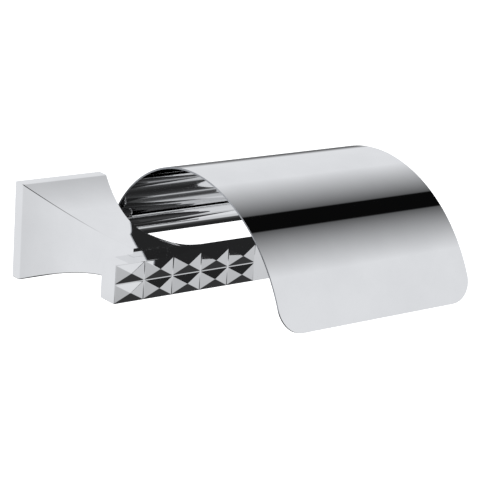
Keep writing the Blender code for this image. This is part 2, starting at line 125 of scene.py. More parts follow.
def make_camera():
    data = bpy.data.cameras.new("camera")
    data.lens = CAMERA_LENS
    data.shift_x, data.shift_y = CAMERA_SHIFT
    data.clip_start = CAMERA_NEAR
    data.clip_end = CAMERA_FAR
    camera = bpy.data.objects.new("camera", data)
    bpy.context.scene.collection.objects.link(camera)
    reach = math.cos(CAMERA_ELEVATION)
    ahead = Vector((
        math.sin(CAMERA_AZIMUTH) * reach,
        math.cos(CAMERA_AZIMUTH) * reach,
        -math.sin(CAMERA_ELEVATION),
    ))
    level = Vector((math.cos(CAMERA_AZIMUTH), -math.sin(CAMERA_AZIMUTH), 0))
    upright = level.cross(ahead)
    right = math.cos(CAMERA_ROLL) * level + math.sin(CAMERA_ROLL) * upright
    up = -math.sin(CAMERA_ROLL) * level + math.cos(CAMERA_ROLL) * upright
    turn = Matrix((right, up, -ahead)).transposed().to_4x4()
    camera.matrix_world = Matrix.Translation(CAMERA_TARGET - ahead * CAMERA_DISTANCE) @ turn
    bpy.context.scene.camera = camera


# ---- materials ----
NOISE_SPAN = (0.3, 0.7)   # where most of a noise's values lie
METAL_DRIFT = 55          # scales of the noises in a metal, from its slow drift to its grain
METAL_WAVES = 120
METAL_GRAIN = 900
WAVE_HEIGHT = 0.001
GRAIN_HEIGHT = 0.0001
PLAIN_MOTTLE = 400        # scales of the noises in a plastic or rubber
PLAIN_GRAIN = 3000
MATTE_HEIGHT = 0.0002
MATTE_SPREAD = 0.08       # how far its roughness strays to each side


def nodes_of(material):
    material.use_nodes = True
    tree = material.node_tree
    return tree, tree.nodes["Principled BSDF"]


def add_noise(tree, scale, detail=3.0, stretch=(1, 1, 1)):
    """Noise in the object's own metres; a stretch under 1 draws it out along that axis."""
    where = tree.nodes.new("ShaderNodeTexCoord")
    mapping = tree.nodes.new("ShaderNodeMapping")
    mapping.inputs["Scale"].default_value = stretch
    noise = tree.nodes.new("ShaderNodeTexNoise")
    noise.inputs["Scale"].default_value = scale
    noise.inputs["Detail"].default_value = detail
    tree.links.new(where.outputs["Object"], mapping.inputs["Vector"])
    tree.links.new(mapping.outputs["Vector"], noise.inputs["Vector"])
    return noise.outputs["Fac"]


def ramp(tree, value, low, high, source=NOISE_SPAN):
    """Maps a span of a value, usually a noise's, to a span of numbers."""
    node = tree.nodes.new("ShaderNodeMapRange")
    node.inputs["From Min"].default_value, node.inputs["From Max"].default_value = source
    node.inputs["To Min"].default_value = low
    node.inputs["To Max"].default_value = high
    tree.links.new(value, node.inputs["Value"])
    return node.outputs["Result"]


def mix_colours(tree, value, first, second):
    node = tree.nodes.new("ShaderNodeMix")
    node.data_type = "RGBA"
    node.inputs["A"].default_value = (*first, 1)
    node.inputs["B"].default_value = (*second, 1)
    tree.links.new(value, node.inputs["Factor"])
    return node.outputs["Result"]


def add_bump(tree, height, distance, strength, before=None):
    bump = tree.nodes.new("ShaderNodeBump")
    bump.inputs["Distance"].default_value = distance
    bump.inputs["Strength"].default_value = strength
    tree.links.new(height, bump.inputs["Height"])
    if before:
        tree.links.new(before, bump.inputs["Normal"])
    return bump.outputs["Normal"]


def make_metal(name, dark, light, smooth, rough, waves, grain, stretch=(1, 1, 1)):
    """A metal whose tone drifts, with long waves and a fine grain in its finish."""
    material = bpy.data.materials.new(name)
    tree, shader = nodes_of(material)
    shader.inputs["Metallic"].default_value = 1
    drift = add_noise(tree, METAL_DRIFT)
    fine = add_noise(tree, METAL_GRAIN, detail=2, stretch=stretch)
    tone = mix_colours(tree, ramp(tree, drift, 0, 1), dark, light)
    tree.links.new(tone, shader.inputs["Base Color"])
    tree.links.new(ramp(tree, fine, smooth, rough), shader.inputs["Roughness"])
    long_waves = add_bump(tree, add_noise(tree, METAL_WAVES, detail=1), WAVE_HEIGHT, waves)
    normal = add_bump(tree, fine, GRAIN_HEIGHT, grain, long_waves)
    tree.links.new(normal, shader.inputs["Normal"])
    return material


def make_plain(name, dark, light, rough, grain, specular=0.5):
    """A moulded plastic or rubber with a faint mottle and a fine matte grain."""
    material = bpy.data.materials.new(name)
    tree, shader = nodes_of(material)
    shader.inputs["Specular IOR Level"].default_value = specular
    mottle = add_noise(tree, PLAIN_MOTTLE)
    fine = add_noise(tree, PLAIN_GRAIN, detail=2)
    tone = mix_colours(tree, ramp(tree, mottle, 0, 1), dark, light)
    tree.links.new(tone, shader.inputs["Base Color"])
    uneven = ramp(tree, fine, rough - MATTE_SPREAD, rough + MATTE_SPREAD)
    tree.links.new(uneven, shader.inputs["Roughness"])
    tree.links.new(add_bump(tree, fine, MATTE_HEIGHT, grain), shader.inputs["Normal"])
    return material


CHROME = make_metal(
    "chrome", dark=(0.874, 0.876, 0.880), light=(0.912, 0.914, 0.917),
    smooth=0.015, rough=0.045, waves=0.004, grain=0.004,
)
POLISHED = make_metal(
    "polished_sheet", dark=(0.868, 0.870, 0.874), light=(0.904, 0.906, 0.909),
    smooth=0.015, rough=0.035, waves=0.0012, grain=0.001, stretch=(0.05, 1, 1),
)
STEEL = make_metal(
    "steel", dark=(0.50, 0.51, 0.53), light=(0.62, 0.63, 0.65),
    smooth=0.25, rough=0.42, waves=0.02, grain=0.15,
)
ZINC = make_metal(
    "cast_zinc", dark=(0.42, 0.43, 0.45), light=(0.54, 0.55, 0.57),
    smooth=0.42, rough=0.6, waves=0.1, grain=0.4,
)
# the cut edges' satin metal; its darker colour is painted shade that draws a dark outline along the sheet's
# sides
SHEET_EDGE_PAINTED_DARK = make_metal(
    "sheet_edge_painted_dark", dark=(0.40, 0.41, 0.43), light=(0.52, 0.53, 0.55),
    smooth=0.22, rough=0.4, waves=0.01, grain=0.1,
)
NYLON = make_plain("nylon", dark=(0.76, 0.76, 0.71), light=(0.84, 0.84, 0.80), rough=0.5, grain=0.1)
RUBBER = make_plain(
    "rubber", dark=(0.022, 0.022, 0.024), light=(0.035, 0.035, 0.036),
    rough=0.65, grain=0.2, specular=0.3,
)


# ---- mesh tools ----
SMOOTH_ANGLE = math.radians(30)   # faces that meet at less than this are shaded as one
ON_AXIS = 1e-7                    # a profile's point nearer the axis than this lies on it
TURN_STEPS = 72
ARC_REACH = 0.45                  # an eased corner takes up at most this share of each side


def middle_of(node):
    low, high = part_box(node)
    return (low + high) / 2, low, high


def add_piece(name, mesh, material=None):
    bmesh.ops.recalc_face_normals(mesh, faces=mesh.faces)
    data = bpy.data.meshes.new(name)
    mesh.to_mesh(data)
    mesh.free()
    obj = bpy.data.objects.new(name, data)
    bpy.context.scene.collection.objects.link(obj)
    if material:
        data.materials.append(material)
    data.shade_smooth()
    data.set_sharp_from_angle(angle=SMOOTH_ANGLE)
    return obj


def stand_for(obj, node, body):
    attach(obj, body)
    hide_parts(node)


def even_normals(obj):
    """Keeps large flat faces flat beside their narrow rounded edges."""
    weighted = obj.modifiers.new("even normals", "WEIGHTED_NORMAL")
    weighted.keep_sharp = True
    weighted.weight = 100   # the largest faces count the most


def join_rings(mesh, rings, closed_loop=True):
    rows = [[mesh.verts.new(point) for point in ring] for ring in rings]
    for near, far in zip(rows, rows[1:]):
        count = len(near)
        for i in range(count if closed_loop else count - 1):
            j = (i + 1) % count
            mesh.faces.new((near[i], near[j], far[j], far[i]))
    return rows


def loft(name, rings, material=None):
    mesh = bmesh.new()
    rows = join_rings(mesh, rings)
    mesh.faces.new(rows[0])
    mesh.faces.new(rows[-1])
    return add_piece(name, mesh, material)


def rounded(points, radius, steps=4, closed=False):
    """A path of (radius, height) points with its corners eased; an open one keeps its two ends."""
    made = []
    count = len(points)
    for i, point in enumerate(points):
        if not closed and i in (0, count - 1):
            made.append(point)
            continue
        here = Vector(point)
        back = Vector(points[i - 1]) - here
        on = Vector(points[(i + 1) % count]) - here
        reach = min(radius, back.length * ARC_REACH, on.length * ARC_REACH)
        start = here + back.normalized() * reach
        end = here + on.normalized() * reach
        for step in range(steps + 1):
            part = step / steps
            bent = (1 - part) ** 2 * start + 2 * part * (1 - part) * here + part**2 * end
            made.append(tuple(bent))
    return made


# for each axis that a piece is turned about: two directions across it, and its own
AXES = {
    "+X": (Vector((0, 1, 0)), Vector((0, 0, 1)), Vector((1, 0, 0))),
    "-X": (Vector((0, 1, 0)), Vector((0, 0, -1)), Vector((-1, 0, 0))),
    "-Y": (Vector((1, 0, 0)), Vector((0, 0, 1)), Vector((0, -1, 0))),
    "+Z": (Vector((1, 0, 0)), Vector((0, 1, 0)), Vector((0, 0, 1))),
}


def turned(name, profile, origin, axis, material=None, steps=TURN_STEPS, closed=False):
    """A profile of (radius, height) points turned about an axis; a closed one makes a ring."""
    across, over, along = AXES[axis]
    mesh = bmesh.new()
    rings = []
    for radius, height in profile:
        centre = Vector(origin) + along * height
        if radius < ON_AXIS:
            rings.append([mesh.verts.new(centre)])
            continue
        ring = []
        for i in range(steps):
            angle = 2 * math.pi * i / steps
            outward = math.cos(angle) * across + math.sin(angle) * over
            ring.append(mesh.verts.new(centre + radius * outward))
        rings.append(ring)
    pairs = list(zip(rings, rings[1:]))
    if closed:
        pairs.append((rings[-1], rings[0]))
    for near, far in pairs:
        for i in range(steps):
            j = (i + 1) % steps
            corners = [near[i % len(near)], near[j % len(near)], far[j % len(far)], far[i % len(far)]]
            mesh.faces.new(list(dict.fromkeys(corners)))   # three corners where a ring is one point
    return add_piece(name, mesh, material)


def cut(target, operation, other, solver="EXACT"):
    modifier = target.modifiers.new(f"{operation.lower()} {other.name}", "BOOLEAN")
    modifier.operation = operation
    modifier.solver = solver
    modifier.object = other


def bake_shape(obj, *helpers):
    """Makes the modifiers' result the object's own welded mesh and removes its helpers."""
    graph = bpy.context.evaluated_depsgraph_get()
    made = bpy.data.meshes.new_from_object(obj.evaluated_get(graph))
    mesh = bmesh.new()
    mesh.from_mesh(made)
    bmesh.ops.remove_doubles(mesh, verts=mesh.verts, dist=WELD)
    mesh.to_mesh(made)
    mesh.free()
    obj.modifiers.clear()
    obj.data = made
    for helper in helpers:
        bpy.data.objects.remove(helper)


def ease_edges(obj, width, angle, segments=3):
    """Bevels the edges whose faces meet at more than an angle."""
    bevel = obj.modifiers.new("eased edges", "BEVEL")
    bevel.width = width
    bevel.segments = segments
    bevel.limit_method = "ANGLE"
    bevel.angle_limit = angle


def stretched_cube(low, high):
    mesh = bmesh.new()
    bmesh.ops.create_cube(mesh, size=1)
    for vertex in mesh.verts:
        for i in range(3):
            vertex.co[i] = low[i] + (vertex.co[i] + 0.5) * (high[i] - low[i])
    return mesh


def box(name, low, high):
    return add_piece(name, stretched_cube(low, high))


def tube_profile(inner, outer, length):
    """The outline of a tube, or of a solid pin where the inner radius is 0."""
    return [(inner, 0), (outer, 0), (outer, length), (inner, length)]


def cylinder(name, origin, axis, radius, length, steps=TURN_STEPS):
    return turned(name, tube_profile(0, radius, length), origin, axis, None, steps)


# ---- post ----
POST_CORNER = 0.0004
CORNER_STEPS = 4
POST_STATIONS = 48
RIM_ROUND = 0.0004
RIM_LEAD = 0.3            # where the back rim's middle ring lies, as a share of its rounding
RIM_EASE = 0.0009
RIM_STEPS = 8
HOLLOW_CORNER = 0.002
HOLLOW_STATIONS = 12
ROOM_REACH = 0.03         # the room cut out for the bar reaches this far to each side and down
BOSS_SINK = 0.002         # the boss starts this far inside the wall's inner face
BOSS_END = 0.0242
BOSS_RADIUS = 0.005
BOSS_EASE = 0.0005
ROD_WAY_RADIUS = 0.0023
GRUB_WAY_RADIUS = 0.0023
GRUB_WAY_LOW = -0.027
GRUB_WAY_LENGTH = 0.007
PIN_WAY_RADIUS = 0.0016
PIN_WAY_LENGTH = 0.012


def flare_half(distance):
    """Half the post's width at a distance in front of the flange."""
    left = max(0.0, 1 - max(0.0, distance) / FLARE_LENGTH)
    return NECK_HALF + (FLANGE_HALF - NECK_HALF) * left**FLARE_POWER


def flare_centre(distance):
    """The height of the post's middle there."""
    return NECK_RISE * min(1.0, max(0.0, distance) / FLARE_LENGTH)


def square_ring(y, inset=0.0, corner=POST_CORNER):
    """The post's square section at y with narrow rounded corners."""
    distance = FLANGE_FRONT - y
    half = flare_half(distance) - inset
    middle = flare_centre(distance)
    ring = []
    for quarter, (side_x, side_z) in enumerate(((1, 1), (-1, 1), (-1, -1), (1, -1))):
        for i in range(CORNER_STEPS + 1):
            angle = math.pi / 2 * (quarter + i / CORNER_STEPS)
            x = side_x * (half - corner) + corner * math.cos(angle)
            z = side_z * (half - corner) + corner * math.sin(angle)
            ring.append((x, y, middle + z))
    return ring


def rim_inset(part):
    """How far the flange's eased front edge lies inside the sharp one: a parabola between the two faces."""
    slope = (FLANGE_HALF - NECK_HALF) * FLARE_POWER / FLARE_LENGTH
    eased = slope * RIM_EASE * part**2
    sharp = slope * RIM_EASE * max(0.0, 2 * part - 1)
    return eased - sharp


def post_rings():
    """From the back rim over the flange, down the flare and along the neck, with the edges eased."""
    back = POST_HIGH.y
    rings = [square_ring(back, RIM_ROUND)]
    rings.append(square_ring(back - RIM_ROUND * RIM_LEAD, RIM_ROUND * RIM_LEAD))
    rings.append(square_ring(back - RIM_ROUND))
    for i in range(RIM_STEPS + 1):
        y = FLANGE_FRONT + RIM_EASE * (1 - 2 * i / RIM_STEPS)
        rings.append(square_ring(y, rim_inset(i / RIM_STEPS)))
    start, end = FLANGE_FRONT - RIM_EASE, FLANGE_FRONT - FLARE_LENGTH
    for i in range(1, POST_STATIONS + 1):
        rings.append(square_ring(start + (end - start) * i / POST_STATIONS))
    rings.append(square_ring(NECK_FRONT))
    return rings


def hollow_rings():
    rings = [square_ring(OVERRUN, POST_WALL, HOLLOW_CORNER)]
    for i in range(HOLLOW_STATIONS + 1):
        y = FLANGE_FRONT + (HOLLOW_FLOOR - FLANGE_FRONT) * i / HOLLOW_STATIONS
        rings.append(square_ring(y, POST_WALL, HOLLOW_CORNER))
    return rings


def make_post():
    post = loft("post", post_rings(), CHROME)
    hollow = loft("hollow", hollow_rings())
    room_low = (-ROOM_REACH, NECK_FRONT - OVERRUN, -ROOM_REACH)
    room = box("bar_room", room_low, (ROOM_REACH, BAR_BACK + SEAM, BAR_TOP + SEAM))
    seat = flare_half(-HINGE_Y + FLANGE_FRONT) - POST_WALL - BOSS_SINK
    length = BOSS_END - seat
    profile = rounded(tube_profile(0, BOSS_RADIUS, length), BOSS_EASE)
    boss = turned("boss", profile, (seat, HINGE_Y, HINGE_Z), "+X")
    start = (seat - OVERRUN, HINGE_Y, HINGE_Z)
    rod_way = cylinder("rod_way", start, "+X", ROD_WAY_RADIUS, length + 2 * OVERRUN)
    start = (0, FLANGE_FRONT / 2, GRUB_WAY_LOW)
    grub_way = cylinder("grub_way", start, "+Z", GRUB_WAY_RADIUS, GRUB_WAY_LENGTH)
    pin, pin_low, _ = middle_of("stop_pin")
    start = (pin_low.x - OVERRUN, pin.y, pin.z)
    pin_way = cylinder("pin_way", start, "+X", PIN_WAY_RADIUS, PIN_WAY_LENGTH)
    helpers = (hollow, room, pin_way, boss, rod_way, grub_way)
    for helper in helpers:
        cut(post, "UNION" if helper is boss else "DIFFERENCE", helper)
    bake_shape(post, *helpers)
    post.data.set_sharp_from_angle(angle=SMOOTH_ANGLE)
    even_normals(post)
    stand_for(post, "flange_post", FIXED)


# ---- bar ----
FRONT_FACING = -0.5       # a face whose normal's y is less than this faces the front
FILLET_STATIONS = 56
FILLET_SINK = 0.0001      # how far the fillet's far end and underside are sunk into the bar
BAR_EDGE = 0.00022
BAR_EDGE_ANGLE = math.radians(8)


def raise_crystals(mesh):
    """Cuts the bar's front into cells and raises each to a point, from the left end."""
    def cut_line(point, normal):
        geometry = mesh.verts[:] + mesh.edges[:] + mesh.faces[:]
        bmesh.ops.bisect_plane(mesh, geom=geometry, plane_co=point, plane_no=normal)

    for i in range(1, CRYSTAL_COLUMNS + 1):
        cut_line((BAR_LOW.x + i * CRYSTAL_PITCH, 0, 0), (1, 0, 0))
    height = BAR_TOP - BAR_LOW.z
    for i in range(1, CRYSTAL_ROWS):
        cut_line((0, 0, BAR_TOP - i * height / CRYSTAL_ROWS), (0, 0, 1))
    mesh.normal_update()
    end = BAR_LOW.x + CRYSTAL_COLUMNS * CRYSTAL_PITCH
    fronts = [face for face in mesh.faces if face.normal.y < FRONT_FACING]
    cells = [face for face in fronts if face.calc_center_median().x < end]
    bmesh.ops.inset_individual(mesh, faces=cells, thickness=CRYSTAL_LAND / 2, use_even_offset=True)
    bmesh.ops.poke(mesh, faces=cells, offset=CRYSTAL_HEIGHT)


def fillet_rings():
    """The curve behind the bar that leads from the neck's side and top onto the bar."""
    rings = []
    for i in range(FILLET_STATIONS + 1):
        part = (i / FILLET_STATIONS) ** 2
        along = part * FILLET_RUN
        reach = max(0.0, 1 - along / FILLET_RADIUS)
        back = BAR_BACK + FILLET_RADIUS * (1 - math.sqrt(1 - reach**2)) - FILLET_SINK * part
        rise = (NECK_TOP - BAR_TOP) * (1 - part) ** FILLET_POWER
        top = BAR_TOP + rise + FILLET_PROUD - FILLET_SINK * part
        x = NECK_HALF + along - FILLET_LAP * (i == 0)
        low = BAR_LOW.z + FILLET_SINK
        front = NECK_FRONT - FILLET_PROUD
        rings.append([(x, y, z) for y, z in ((front, low), (back, low), (back, top), (front, top))])
    return rings


def make_bar():
    mesh = stretched_cube((BAR_LOW.x, BAR_FRONT, BAR_LOW.z), (BAR_HIGH.x, BAR_BACK, BAR_TOP))
    raise_crystals(mesh)
    bar = add_piece("bar", mesh, CHROME)
    ease_edges(bar, BAR_EDGE, BAR_EDGE_ANGLE, segments=2)
    bake_shape(bar)
    fillet = loft("fillet", fillet_rings())
    # the exact solver leaves some of the crystals' edges open here
    cut(bar, "UNION", fillet, "MANIFOLD")
    bake_shape(bar, fillet)
    bar.data.shade_smooth()
    bar.data.set_sharp_from_angle(angle=SMOOTH_ANGLE)
    even_normals(bar)
    stand_for(bar, "roll_bar", FIXED)


# ---- hood ----
HOOD_CORNER_STEPS = 24
HOOD_EDGE = 0.0003
HOOD_EDGE_ANGLE = math.radians(50)
HOOD_SMOOTH_ANGLE = math.radians(40)
CUT_EDGE_TURN = math.radians(60)   # a face turned to within this of the side is a cut edge


def hood_profile():
    """(y, z, distance along the sheet) of the outer surface, from the curl's end to the front edge."""
    angle = HOOD_LEAN - HOOD_ARCS[0][1]
    y = HINGE_Y + CURL_RADIUS * math.cos(angle)
    z = HINGE_Z + CURL_RADIUS * math.sin(angle)
    length = 0.0
    points = [(y, z, length)]
    for radius, sweep, steps in HOOD_ARCS:
        centre = (y - radius * math.cos(angle), z - radius * math.sin(angle))
        for i in range(1, steps + 1):
            now = angle + sweep * i / steps
            y, z = centre[0] + radius * math.cos(now), centre[1] + radius * math.sin(now)
            points.append((y, z, length + radius * sweep * i / steps))
        angle += sweep
        length += radius * sweep
    return points


def along_profile(points, distance):
    for near, far in zip(points, points[1:]):
        if near[2] <= distance <= far[2]:
            part = (distance - near[2]) / (far[2] - near[2])
            return tuple(start + part * (end - start) for start, end in zip(near, far))
    return points[-1]


def hood_rows():
    """(inset from each side, y, z) along the sheet; the inset rounds off the front corners."""
    points = hood_profile()
    end = points[-1][2]
    rows = [(0.0, y, z) for y, z, along in points if along < end - HOOD_CORNER]
    for i in range(HOOD_CORNER_STEPS + 1):
        angle = math.pi / 2 * i / HOOD_CORNER_STEPS
        y, z, _ = along_profile(points, end - HOOD_CORNER * (1 - math.sin(angle)))
        rows.append((HOOD_CORNER * (1 - math.cos(angle)), y, z))
    return rows


def mark_cut_edges(data):
    """Gives the cut edges at the sheet's sides the satin finish that cutting leaves, with a darker colour
    that is painted shade: a dark outline along them.
    """
    data.materials.append(SHEET_EDGE_PAINTED_DARK)
    edge_index = len(data.materials) - 1
    side = math.cos(CUT_EDGE_TURN)
    for face in data.polygons:
        if abs(face.normal.x) > side:
            face.material_index = edge_index


def make_hood():
    mesh = bmesh.new()
    rows = []
    for inset, y, z in hood_rows():
        rows.append([(HOOD_LOW.x + inset, y, z), (HOOD_HIGH.x - inset, y, z)])
    join_rings(mesh, rows, closed_loop=False)
    data = bpy.data.meshes.new("hood_sheet")
    mesh.to_mesh(data)
    mesh.free()
    hood = bpy.data.objects.new("hood_sheet", data)
    bpy.context.scene.collection.objects.link(hood)
    data.materials.append(POLISHED)
    sheet = hood.modifiers.new("sheet", "SOLIDIFY")
    sheet.thickness = SHEET
    sheet.offset = -1
    sheet.use_even_offset = True
    ease_edges(hood, HOOD_EDGE, HOOD_EDGE_ANGLE)
    bake_shape(hood)
    mark_cut_edges(hood.data)
    hood.data.shade_smooth()
    hood.data.set_sharp_from_angle(angle=HOOD_SMOOTH_ANGLE)
    even_normals(hood)
    stand_for(hood, "hood", MOVING)


# ---- hinge parts ----
ROD_RADIUS = 0.002
ROD_EASE = 0.0002
COLLAR_START = 0.0245
COLLAR_RADIUS = 0.0036
COLLAR_LENGTH = 0.0008
RING_EASE = 0.00015
BUSH_BORE = 0.0022
BUSH_RADIUS = 0.0029
BUSH_FLANGE_RADIUS = 0.004
BUSH_FLANGE_LENGTH = 0.0011
CAP_RADIUS = 0.0044
CAP_BORE = 0.0023
CAP_END = 0.001           # the bore stops this far short of the cap's far end
CAP_EASE = 0.0003
CAP_DOME_STEPS = 16
CAP_WAY_RADIUS = 0.0015
PIN_RADIUS = 0.0013
PIN_HEAD_RADIUS = 0.002
PIN_HEAD_LENGTH = 0.001
PIN_EASE = 0.0003
SLEEVE_INNER = 0.0015
SLEEVE_OUTER = 0.0022
SLEEVE_EASE = 0.0003


def make_rod():
    _, low, high = middle_of("hinge_rod")
    start = COLLAR_START - low.x
    end = start + COLLAR_LENGTH
    length = high.x - low.x
    profile = [(0, 0), (ROD_RADIUS, 0), (ROD_RADIUS, start), (COLLAR_RADIUS, start)]
    profile += [(COLLAR_RADIUS, end), (ROD_RADIUS, end), (ROD_RADIUS, length), (0, length)]
    rod = turned("rod", rounded(profile, ROD_EASE, steps=2), (low.x, HINGE_Y, HINGE_Z), "+X", CHROME)
    stand_for(rod, "hinge_rod", FIXED)


def make_washer(name, node, inner, outer):
    middle, low, high = middle_of(node)
    size = high - low
    axis = "+X" if size.x < size.y else "-Y"
    length = size.x if axis == "+X" else size.y
    origin = (low.x, middle.y, middle.z) if axis == "+X" else (middle.x, high.y, middle.z)
    profile = rounded(tube_profile(inner, outer, length), RING_EASE, steps=2, closed=True)
    washer = turned(name, profile, origin, axis, STEEL, closed=True)
    stand_for(washer, node, FIXED)


def make_bush(name, node, axis):
    _, low, high = middle_of(node)
    start = low.x if axis == "+X" else high.x
    length = high.x - low.x
    profile = [(BUSH_BORE, 0), (BUSH_FLANGE_RADIUS, 0), (BUSH_FLANGE_RADIUS, BUSH_FLANGE_LENGTH)]
    profile += [(BUSH_RADIUS, BUSH_FLANGE_LENGTH), (BUSH_RADIUS, length), (BUSH_BORE, length)]
    profile = rounded(profile, RING_EASE, steps=2, closed=True)
    bush = turned(name, profile, (start, HINGE_Y, HINGE_Z), axis, NYLON, closed=True)
    stand_for(bush, node, MOVING)


def make_cap():
    _, low, high = middle_of("rod_end_cap")
    length = high.x - low.x
    dome = length / 4   # the domed end takes up a quarter of the cap
    bore_end = length - CAP_END
    profile = [(0, bore_end), (CAP_BORE, bore_end), (CAP_BORE, 0)]
    profile += [(CAP_RADIUS - CAP_EASE, 0), (CAP_RADIUS, CAP_EASE)]
    for i in range(CAP_DOME_STEPS + 1):
        angle = math.pi / 2 * i / CAP_DOME_STEPS
        profile.append((CAP_RADIUS * math.cos(angle), length - dome + dome * math.sin(angle)))
    cap = turned("end_cap", profile, (low.x, HINGE_Y, HINGE_Z), "+X", CHROME)
    start = (low.x + length / 3, HINGE_Y, HINGE_Z - CAP_RADIUS - SHORT_OVERRUN)
    way = cylinder("cap_way", start, "+Z", CAP_WAY_RADIUS, CAP_RADIUS)
    cut(cap, "DIFFERENCE", way)
    bake_shape(cap, way)
    cap.data.set_sharp_from_angle(angle=SMOOTH_ANGLE)
    stand_for(cap, "rod_end_cap", FIXED)


def make_stop_pin():
    middle, low, high = middle_of("stop_pin")
    length = high.x - low.x
    head = length - PIN_HEAD_LENGTH
    profile = [(0, 0), (PIN_RADIUS, 0), (PIN_RADIUS, head), (PIN_HEAD_RADIUS, head)]
    profile += [(PIN_HEAD_RADIUS, length), (0, length)]
    origin = (low.x, middle.y, middle.z)
    pin = turned("stop_pin_turned", rounded(profile, PIN_EASE, steps=3), origin, "+X", CHROME)
    stand_for(pin, "stop_pin", FIXED)


def make_sleeve():
    middle, low, high = middle_of("stop_sleeve")
    profile = tube_profile(SLEEVE_INNER, SLEEVE_OUTER, high.x - low.x)
    profile = rounded(profile, SLEEVE_EASE, steps=3, closed=True)
    origin = (low.x, middle.y, middle.z)
    sleeve = turned("sleeve", profile, origin, "+X", RUBBER, closed=True)
    stand_for(sleeve, "stop_sleeve", FIXED)


# ---- fasteners ----
HEX_SIDES = 6
BOLT_HEAD = 0.005         # radii of the bolt's head and shank
BOLT_SHANK = 0.003
BOLT_HEAD_LENGTH = 0.006
BOLT_EASE = 0.0004
BOLT_PLAIN = 0.012        # the smooth length under its head
BOLT_TIP = 0.0006
GRUB_RADIUS = 0.002
GRUB_EASE = 0.0003
GRUB_TIP = 0.0005         # the tip's length, and how far it narrows
GRUB_TAPER = 0.0006
CAP_GRUB_RADIUS = 0.0012
CAP_GRUB_EASE = 0.0001
NUT_FLATS = 0.007         # across its flats
NUT_CHAMFER = 0.6         # share of the corners' overhang that the chamfer is long
NUT_FACE = 0.97           # share of the flats that its round face takes up
NUT_PROUD = 0.0001        # how far the shape that chamfers it stands clear of it
NUT_BORE = 0.0023
DOWEL_RADIUS = 0.0012
DOWEL_EASE = 0.0004
DOWEL_STEPS = 48


def make_screw(name, node, profile_of, axis, socket_radius, socket_depth):
    middle, low, high = middle_of(node)
    if axis == "-Y":
        origin, length = Vector((middle.x, high.y, middle.z)), high.y - low.y
    else:
        origin, length = Vector((middle.x, middle.y, low.z)), high.z - low.z
    screw = turned(name, profile_of(length), origin, axis, STEEL)
    start = origin - AXES[axis][2] * SHORT_OVERRUN
    depth = socket_depth + SHORT_OVERRUN
    socket = cylinder(f"{name}_socket", start, axis, socket_radius, depth, HEX_SIDES)
    cut(screw, "DIFFERENCE", socket)
    bake_shape(screw, socket)
    screw.data.set_sharp_from_angle(angle=SMOOTH_ANGLE)
    stand_for(screw, node, FIXED)


def thread(radius, start, end, pitch=0.0008, depth=0.0003):
    """The outline of a run of thread, as close rings."""
    path = [(radius, start)]
    count = int((end - start) / pitch)
    for i in range(count):
        base = start + i * (end - start) / count
        path.append((radius - depth, base + pitch * 0.5))
        path.append((radius, base + pitch))
    return path


def bolt_profile(length):
    path = [(0, 0), (BOLT_HEAD, 0), (BOLT_HEAD, BOLT_HEAD_LENGTH), (BOLT_SHANK, BOLT_HEAD_LENGTH)]
    path = rounded(path, BOLT_EASE, steps=3)
    path += thread(BOLT_SHANK, BOLT_HEAD_LENGTH + BOLT_PLAIN, length - BOLT_TIP)
    return path + [(BOLT_SHANK - BOLT_TIP, length), (0, length)]


def grub_profile(length):
    path = [(0, 0), (GRUB_RADIUS - GRUB_EASE, 0)]
    path += thread(GRUB_RADIUS, GRUB_EASE, length - GRUB_TIP, pitch=0.0007, depth=0.00025)
    return path + [(GRUB_RADIUS - GRUB_TAPER, length), (0, length)]


def cap_grub_profile(length):
    return rounded(tube_profile(0, CAP_GRUB_RADIUS, length), CAP_GRUB_EASE, steps=2)


def make_nut():
    _, low, high = middle_of("rod_nut")
    origin = (low.x, HINGE_Y, HINGE_Z)
    length = high.x - low.x
    flats = NUT_FLATS / 2
    corner = flats / math.cos(math.pi / HEX_SIDES)
    nut = cylinder("nut", origin, "+X", corner, length, HEX_SIDES)
    nut.data.materials.append(STEEL)
    chamfer = (corner - flats) * NUT_CHAMFER
    face = flats * NUT_FACE
    profile = [(0, -NUT_PROUD), (face, -NUT_PROUD), (corner + NUT_PROUD, chamfer)]
    profile += [(corner + NUT_PROUD, length - chamfer), (face, length + NUT_PROUD)]
    profile += [(0, length + NUT_PROUD)]
    envelope = turned("nut_envelope", profile, origin, "+X")
    start = (low.x - SHORT_OVERRUN, HINGE_Y, HINGE_Z)
    way = cylinder("nut_way", start, "+X", NUT_BORE, length + 2 * SHORT_OVERRUN)
    cut(nut, "INTERSECT", envelope)
    cut(nut, "DIFFERENCE", way)
    bake_shape(nut, envelope, way)
    nut.data.set_sharp_from_angle(angle=SMOOTH_ANGLE)
    stand_for(nut, "rod_nut", FIXED)


def make_dowel(side):
    node = f"bar_dowel_{side}"
    middle, low, high = middle_of(node)
    profile = rounded(tube_profile(0, DOWEL_RADIUS, high.y - low.y), DOWEL_EASE, steps=3)
    origin = (middle.x, high.y, middle.z)
    dowel = turned(f"dowel_{side}", profile, origin, "-Y", STEEL, DOWEL_STEPS)
    stand_for(dowel, node, FIXED)


# ---- wall bracket ----
SLOT_HEIGHT = 0.011       # of each slot's middle, above and below the bracket's
SLOT_RADIUS = 0.0023
SLOT_STRAIGHT = 0.0022    # half the slot's straight length
SLOT_STEPS = 16
BRACKET_EDGE = 0.0005
BRACKET_EDGE_ANGLE = math.radians(40)


def slot_outline(z):
    """(x, z) points round a slot that lies level."""
    outline = []
    for side in (1, -1):
        for i in range(SLOT_STEPS + 1):
            angle = side * math.pi / 2 - math.pi * i / SLOT_STEPS
            x = side * SLOT_STRAIGHT + SLOT_RADIUS * math.cos(angle)
            outline.append((x, z + SLOT_RADIUS * math.sin(angle)))
    return outline


